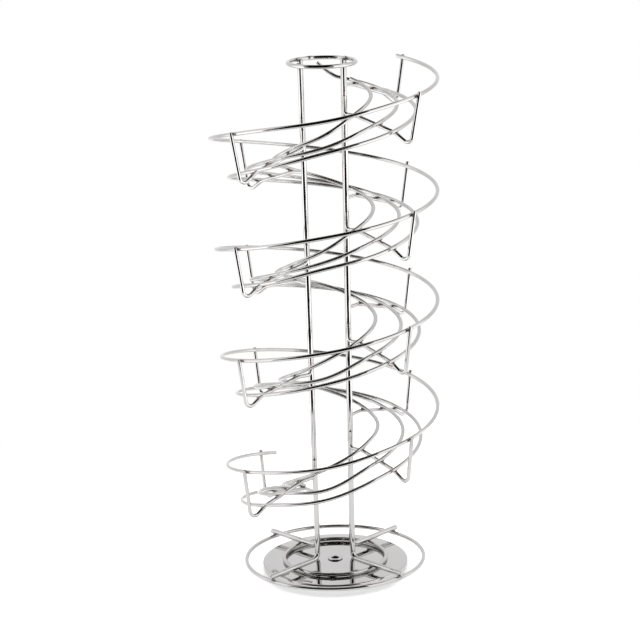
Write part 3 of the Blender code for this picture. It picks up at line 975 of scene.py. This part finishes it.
# %% [markdown]
# A hollow rivet is a tube whose ends are rolled over. It holds the two plates and the ball cage
# together, and one sees straight through it.

# %% The rivet
rivet_bore_radius = 0.0031
rivet_flange_radius = 0.0060
rivet_flange_thickness = 0.0008
rivet_low = lower_disc_bottom - seat_gap - rivet_flange_thickness
rivet_high = upper_disc_top + running_gap + rivet_flange_thickness
roll = rivet_flange_thickness / 2
rivet_outline = arc((rivet_bore_radius + roll, rivet_low + roll), roll, 180.0, 270.0, 4)
rivet_outline += arc((rivet_flange_radius - roll, rivet_low + roll), roll, 270.0, 450.0, 8)
rivet_outline += [(rivet_shank_radius, rivet_low + 2 * roll), (rivet_shank_radius, rivet_high - 2 * roll)]
rivet_outline += arc((rivet_flange_radius - roll, rivet_high - roll), roll, -90.0, 90.0, 8)
rivet_outline += arc((rivet_bore_radius + roll, rivet_high - roll), roll, 90.0, 180.0, 4)
rivet = turn_outline(rivet_outline, round_steps)
finish_piece(rivet, "fine_centre_rivet", rivet_chrome, "base", ["centre_rivet"])
report(["centre_rivet"])

# %% [markdown]
# What repeats is made once and copied, each copy with its own mesh. The rack stands on three rubber feet
# with soft edges, set evenly round the lower disc.

# %% The feet
foot_width = 0.0120
foot_inset = 0.0100
foot_count = 3


def copy_piece(piece):
    pick_up(piece)
    bpy.ops.object.duplicate(linked=False)
    return bpy.context.object


def copies_round(first, count, distance, height, start=0.0):
    """Hand out copies set evenly round the upright axis, and take the first piece away at the end."""
    for number in range(count):
        angle = 2.0 * math.pi * number / count + start
        copy = copy_piece(first)
        shift = (distance * math.cos(angle), distance * math.sin(angle), height)
        bpy.ops.transform.translate(value=shift)
        bpy.ops.object.transform_apply(location=True, rotation=True, scale=True)
        yield number + 1, copy
    bpy.data.objects.remove(first)


foot_edge = foot_height / 4
foot_outline = [(0.0, 0.0), (foot_width / 2 - 1.5 * foot_edge, 0.0)]
foot_outline += arc((foot_width / 2 - 1.2 * foot_edge, foot_edge / 2), foot_edge / 2, -60.0, 0.0, 3)
foot_outline += [(foot_width / 2, foot_height - foot_edge / 3)]
foot_outline += [(foot_width / 2 - foot_edge / 3, foot_height), (0.0, foot_height)]
first_foot = turn_outline(foot_outline, round_steps)
foot_circle = lower_disc_radius - foot_inset
for number, foot in copies_round(first_foot, foot_count, foot_circle, 0.0, math.pi / 2):
    node = "foot_%d" % number
    finish_piece(foot, "fine_" + node, rubber, "base", [node])
report(["foot_%d" % number for number in range(1, foot_count + 1)])

# %% [markdown]
# Ten steel balls run between the plates. A ball is a subdivided cube pushed out to a sphere, which gives
# even faces without poles. The cage that keeps the balls apart is a thin plate with windows, fine enough
# as it was loaded, so it only gets its plastic.

# %% The ball race
ball_width = 0.0045
ball_circle_radius = 0.0300
ball_count = 10
ball_cuts = 5


def round_lump(width, cuts, unevenness=0.0):
    """A cube rounded to a ball, dented a little if it is to be uneven, and brought to its width."""
    rest()
    bpy.ops.mesh.primitive_cube_add(size=width, location=(0.0, 0.0, 0.0))
    lump = bpy.context.object
    edit()
    bpy.ops.mesh.subdivide(number_cuts=cuts)
    bpy.ops.transform.tosphere(value=1.0)
    if unevenness:
        bpy.ops.transform.vertex_random(offset=unevenness, seed=3)
    stop_editing()
    reach = max(vertex.co.length for vertex in lump.data.vertices)
    bpy.ops.object.mode_set(mode="EDIT")
    bpy.ops.transform.resize(value=(width / 2 / reach,) * 3)
    stop_editing()
    return lump


first_ball = round_lump(ball_width, ball_cuts)
ball_middle = middle_height("ball_01")
for number, ball in copies_round(first_ball, ball_count, ball_circle_radius, ball_middle):
    node = "ball_%02d" % number
    finish_piece(ball, "fine_" + node, ball_steel, "race", [node], round_crease_angle)
report(["ball_%02d" % number for number in range(1, ball_count + 1)])

cage = frame["nodes"]["ball_cage"]
cage.data.materials.clear()
cage.data.materials.append(plastic)
print("ball cage keeps its shape,", len(cage.data.polygons), "faces")

# %% [markdown]
# The wires touch only at points, and there they are spot welded. A bead is a lump squeezed flat
# between two round wires. Its place follows from the sizes: it lies between the two middle lines, and
# its flat side faces along the line that joins them.

# %% Where the wires are welded


def rail_way(radius, turn):
    return rail_spot(radius, turn + 1.0) - rail_spot(radius, turn - 1.0)


guard_welds = []
floor_welds = []
upright_welds = []
base_welds = []
top_welds = []
half_gap = seat_gap / 2
shift = Vector((floor_shift, 0.0, 0.0))
for turn, right, front, stand in supports:
    outer, inner, inward = support_line(turn, right, front)
    radial = Vector((outer.x, outer.y, 0.0)).normalized()
    spot = spot_at(guard_distance(turn) + rail_wire / 2 + half_gap, turn, guard_level(turn))
    guard_welds.append((spot, radial))
    corners = support_corners(turn, right, front, stand)
    for radius, _, _, _ in floor_rails.values():
        crossing = outer + inward * distance_along(outer - shift, inward, radius)
        rail_turn = turn_near(crossing - shift, turn)
        pairs = zip(corners[1:], corners[2:])
        under = [far - near for near, far in pairs if far.xy.length <= crossing.xy.length <= near.xy.length]
        along = under[0] if under else corners[-2] - corners[-3]
        upward = along.cross(rail_way(radius, rail_turn)).normalized()
        upward = upward if upward.z > 0.0 else -upward
        floor_welds.append((rail_spot(radius, rail_turn) - upward * (rail_wire / 2 + half_gap), upward))
    height = corners[-1].z - lap_height / 3
    beside = upright_half_depth + upright_wire / 2 + half_gap
    spot = Vector((right * upright_half_width(height), -front * beside, height))
    upright_welds.append((spot, Vector((0.0, 1.0, 0.0))))
for _, right, front, _ in sides:
    head, _, tip = upright_corners(right, front)
    outward = Vector((tip.x, tip.y, 0.0)).normalized()
    for radius in (inner_ring_radius, base_ring_radius):
        spot = outward * radius + Vector((0.0, 0.0, ring_plane + ring_wire / 2 + half_gap))
        base_welds.append((spot, Vector((0.0, 0.0, 1.0))))
    radial = Vector((head.x, head.y, 0.0)).normalized()
    spot = radial * (top_ring_radius - ring_wire / 2 - half_gap)
    spot.z = top_plane + spot.y * math.sin(top_ring_lean)
    top_welds.append((spot, radial))
print("welds", len(guard_welds), len(floor_welds), len(upright_welds), len(base_welds), len(top_welds))

# %% [markdown]
# One bead is made like a ball and then flattened. Its copies are turned a little differently each, so that
# no two look alike, and are joined into one piece for each kind of joint.

# %% Weld beads
bead_width = 0.0032
bead_thickness = 0.0013
bead_cuts = 3
bead_dents = 0.04
odd_turn = 2.4
odd_width = 0.1
weld_groups = (
    ("welds_guard_rail", guard_welds, 1.0, 1.0),
    ("welds_floor_rails", floor_welds, 1.0, 1.0),
    ("welds_uprights", upright_welds, 1.1, 1.0),
    ("welds_base", base_welds, 1.3, 1.2),
    ("welds_top", top_welds, 1.5, 1.5),
)


def bead_at(spot, way, width, thickness, number):
    bead = copy_piece(first_bead)
    spun = Quaternion((0.0, 0.0, 1.0), odd_turn * number)
    narrowing = 1.0 - odd_width + odd_width * math.sin(odd_turn * number)
    bead.rotation_euler = (way.to_track_quat("Z", "X") @ spun).to_euler()
    bead.scale = (width, width * narrowing, thickness)
    bead.location = spot
    bpy.ops.object.transform_apply(location=True, rotation=True, scale=True)
    return bead


first_bead = round_lump(1.0, bead_cuts, bead_dents)
for name, welds, wider, thicker in weld_groups:
    width = wider * bead_width
    thickness = thicker * bead_thickness
    beads = [bead_at(spot, way, width, thickness, number) for number, (spot, way) in enumerate(welds)]
    pick_up(beads[0])
    for bead in beads:
        bead.select_set(True)
    bpy.ops.object.join()
    finish_piece(bpy.context.object, name, weld_metal, "frame", (), round_crease_angle)
    print(name, len(welds), "beads")
bpy.data.objects.remove(first_bead)

# %% [markdown]
# Now that the welds are known, every wire is told how far each of its points is from the nearest one.
# There the wire is duller, and its colour is darkened as painted shade.

# %% Dull spots and painted shade at the welds
heat_and_shade_reach = 0.0035
weld_spots = np.array([spot for _, welds, _, _ in weld_groups for spot, _ in welds])


# The nearness to a weld makes the wire duller and paints shade on it there.
def mark_heat_and_shade(piece):
    spots = np.array([vertex.co for vertex in piece.data.vertices])
    gaps = np.linalg.norm(spots[:, None] - weld_spots[None], axis=2).min(1)
    layer = piece.data.attributes.new("weld_heat_and_shade", "FLOAT", "POINT")
    layer.data.foreach_set("value", np.exp(-(gaps / heat_and_shade_reach) ** 2).astype(np.float32))
    return int((gaps < heat_and_shade_reach).sum())


fine_pieces = [item for item in bpy.data.objects if item.name.startswith("fine_")]
wires = [item for item in fine_pieces if "straight" in item.data.attributes]
print("marked wires", len(wires), "points", sum(mark_heat_and_shade(wire) for wire in wires))

# %% [markdown]
# The room matters as much as the metal. Chrome wire on a white ground is seen only by what it mirrors:
# a white wall behind, two bright panels to the left and right, brightest below eye level, a dark
# ceiling, and a dark gap in front, where the camera looks through, a little to the left of it. The
# panels make the wires white, and the gap draws the dark line down their middle. The panels reach
# further in on a strip just under eye level, so the line is thinner near the top of the uprights.
# The camera sees the wall's plain white on every side. Whatever metal or glass throws on sees the white
# wall too, and the rest of the room. Matt surfaces get an even light. The room is one pattern on the
# world's directions: bearing and elevation in degrees.

# %% The room's levels and edges
gap_share = 0.003
panel_level = 2.4
upper_level = 1.39
wall_level = 1.0
even_level = 0.55
ceiling_level = 0.02
gap_middle = -11.0
gap_edge = 51.0
panel_edge = 112.0
panel_top = -5.0
strip_bottom = -7.5
strip_top = 0.5
strip_squeeze = 1.55
ceiling_edge = 58.0
softness = 1.5
print("dark gap from", gap_middle - gap_edge, "to", gap_middle + gap_edge, "degrees")

# %% [markdown]
# The pattern is worked out with nodes for plain sums. These helpers take either a number or what another
# node puts out, so that the pattern itself reads like a few lines of sums.

# %% Helpers for the room
world = bpy.data.worlds.new("studio")
bpy.context.scene.world = world
world.use_nodes = True


def feed(socket, level):
    """Give a socket a plain number, or what another node puts out."""
    if isinstance(level, float):
        socket.default_value = level
    else:
        join(world, level, socket)


def ramp(value, edge, soft, low, high):
    """Change from low to high at an edge in degrees, over a soft border on both sides of it."""
    node = add_node(world, "ShaderNodeMapRange", interpolation_type="SMOOTHSTEP")
    node.inputs["From Min"].default_value = math.radians(edge - soft)
    node.inputs["From Max"].default_value = math.radians(edge + soft)
    feed(node.inputs["To Min"], low)
    feed(node.inputs["To Max"], high)
    feed(node.inputs["Value"], value)
    return node.outputs["Result"]


def reckon(kind, first, second=0.0):
    node = add_node(world, "ShaderNodeMath", operation=kind)
    feed(node.inputs[0], first)
    feed(node.inputs[1], second)
    return node.outputs["Value"]


def switch(share, off, on):
    node = add_node(world, "ShaderNodeMix")
    feed(node.inputs["Factor"], share)
    feed(node.inputs["A"], off)
    feed(node.inputs["B"], on)
    return node.outputs["Result"]


def kinds_of_ray(owner):
    """One for the camera's own rays, and one for those that metal or glass throws on."""
    path = add_node(owner, "ShaderNodeLightPath")
    thrown = combined(owner, "MAXIMUM", path.outputs["Is Glossy Ray"], path.outputs["Is Transmission Ray"])
    return path.outputs["Is Camera Ray"], thrown


print("world", world.name)

# %% [markdown]
# The bearing is zero in front and grows to the right. The gap is multiplied in last but one, so it cuts
# through panels and wall alike, and the ceiling darkens all that is high above. At the end each kind of
# ray gets its level.

# %% The studio
direction = add_node(world, "ShaderNodeSeparateXYZ")
join(world, add_node(world, "ShaderNodeTexCoord").outputs["Generated"], direction.inputs["Vector"])
toward = reckon("MULTIPLY", direction.outputs["Y"], -1.0)
bearing = reckon("ARCTAN2", direction.outputs["X"], toward)
azimuth = reckon("ABSOLUTE", bearing)
from_gap = reckon("ABSOLUTE", reckon("SUBTRACT", bearing, math.radians(gap_middle)))
elevation = reckon("ARCSINE", direction.outputs["Z"])
panels = ramp(elevation, panel_top, 3 * softness, panel_level, upper_level)
surround = ramp(azimuth, panel_edge, 8 * softness, panels, wall_level)
strip = ramp(elevation, strip_bottom, softness, 1.0, strip_squeeze)
strip = ramp(elevation, strip_top, softness, strip, 1.0)
gap = ramp(reckon("MULTIPLY", from_gap, strip), gap_edge, softness, gap_share, 1.0)
ceiling = ramp(elevation, ceiling_edge, 4 * softness, 1.0, ceiling_level)
studio_level = reckon("MULTIPLY", reckon("MULTIPLY", gap, surround), ceiling)
camera_ray, thrown_ray = kinds_of_ray(world)
seen_level = switch(camera_ray, switch(thrown_ray, even_level, studio_level), wall_level)
backdrop = world.node_tree.nodes["Background"]
backdrop.inputs["Color"].default_value = (1.0, 1.0, 1.0, 1.0)
join(world, seen_level, backdrop.inputs["Strength"])
print("world nodes", len(world.node_tree.nodes))

# %% [markdown]
# The table is a round white sheet. A wide lamp over it lights it evenly and leaves only a soft shadow
# round the base. Paper is never quite as white as the background, so the table is lifted by a little
# light of its own, which shows to the camera and in metal and glass, and its edge vanishes.

# %% Table and lamp
table_radius = 0.50
table_sides = 128
table_thickness = 0.01
table_white = 0.86
fleck_scale = 60.0
fleck_shade = 0.005
table_lift = 0.56
mirror_lift = 0.43
lamp_size = 1.6
lamp_height = 1.9
lamp_power = 20.0

rest()
bpy.ops.mesh.primitive_circle_add(vertices=table_sides, radius=table_radius, fill_type="NGON")
table = bpy.context.object
table.name = "table"
edit()
bpy.ops.mesh.extrude_region_move(TRANSFORM_OT_translate={"value": (0.0, 0.0, -table_thickness)})
bpy.ops.mesh.select_all(action="SELECT")
bpy.ops.mesh.normals_make_consistent(inside=False)
stop_editing()
table_paint, table_shader = new_material("table_paint", (table_white,) * 3, 0.0, 0.9)
fleck = spread(table_paint, grain(table_paint, object_place(table_paint), fleck_scale), 0.0, 1.0)
table_tint = blended(table_paint, fleck, (table_white,) * 3, (table_white - fleck_shade,) * 3)
join(table_paint, table_tint.outputs["Result"], table_shader.inputs["Base Color"])
camera_ray, thrown_ray = kinds_of_ray(table_paint)
direct_lift = spread(table_paint, camera_ray, 0.0, table_lift, 0.0, 1.0)
thrown_lift = spread(table_paint, thrown_ray, 0.0, mirror_lift, 0.0, 1.0)
lift = combined(table_paint, "ADD", direct_lift, thrown_lift)
table_shader.inputs["Emission Color"].default_value = (1.0, 1.0, 1.0, 1.0)
join(table_paint, lift, table_shader.inputs["Emission Strength"])
table.data.materials.append(table_paint)

bpy.ops.object.light_add(type="AREA", location=(0.0, 0.0, lamp_height))
lamp = bpy.context.object
lamp.name = "lamp"
lamp.data.shape = "DISK"
lamp.data.size = lamp_size
lamp.data.energy = lamp_power
lamp.visible_glossy = False
print("table radius", table_radius, "lamp", lamp_power)

# %% [markdown]
# The camera looks at the front from a little above, as in the picture. It is nearly level and slightly
# rolled, and a long lens keeps the turns of the run in proportion.

# %% Camera
camera_place = (-0.00691, -1.33745, 0.51840)
camera_pitch = math.radians(12.975)
camera_roll = math.radians(-1.633)
camera_lens = 97.72

bpy.ops.object.camera_add(location=camera_place)
camera = bpy.context.object
camera.name = "camera"
tilt = Quaternion((1.0, 0.0, 0.0), math.pi / 2 - camera_pitch)
roll_turn = Quaternion((0.0, 0.0, 1.0), camera_roll)
camera.rotation_euler = (tilt @ roll_turn).to_euler()
camera.data.sensor_width = 36.0
camera.data.lens = camera_lens
bpy.context.scene.camera = camera
bpy.context.scene.view_settings.view_transform = "Standard"
print("camera at", [round(part, 3) for part in camera.location])
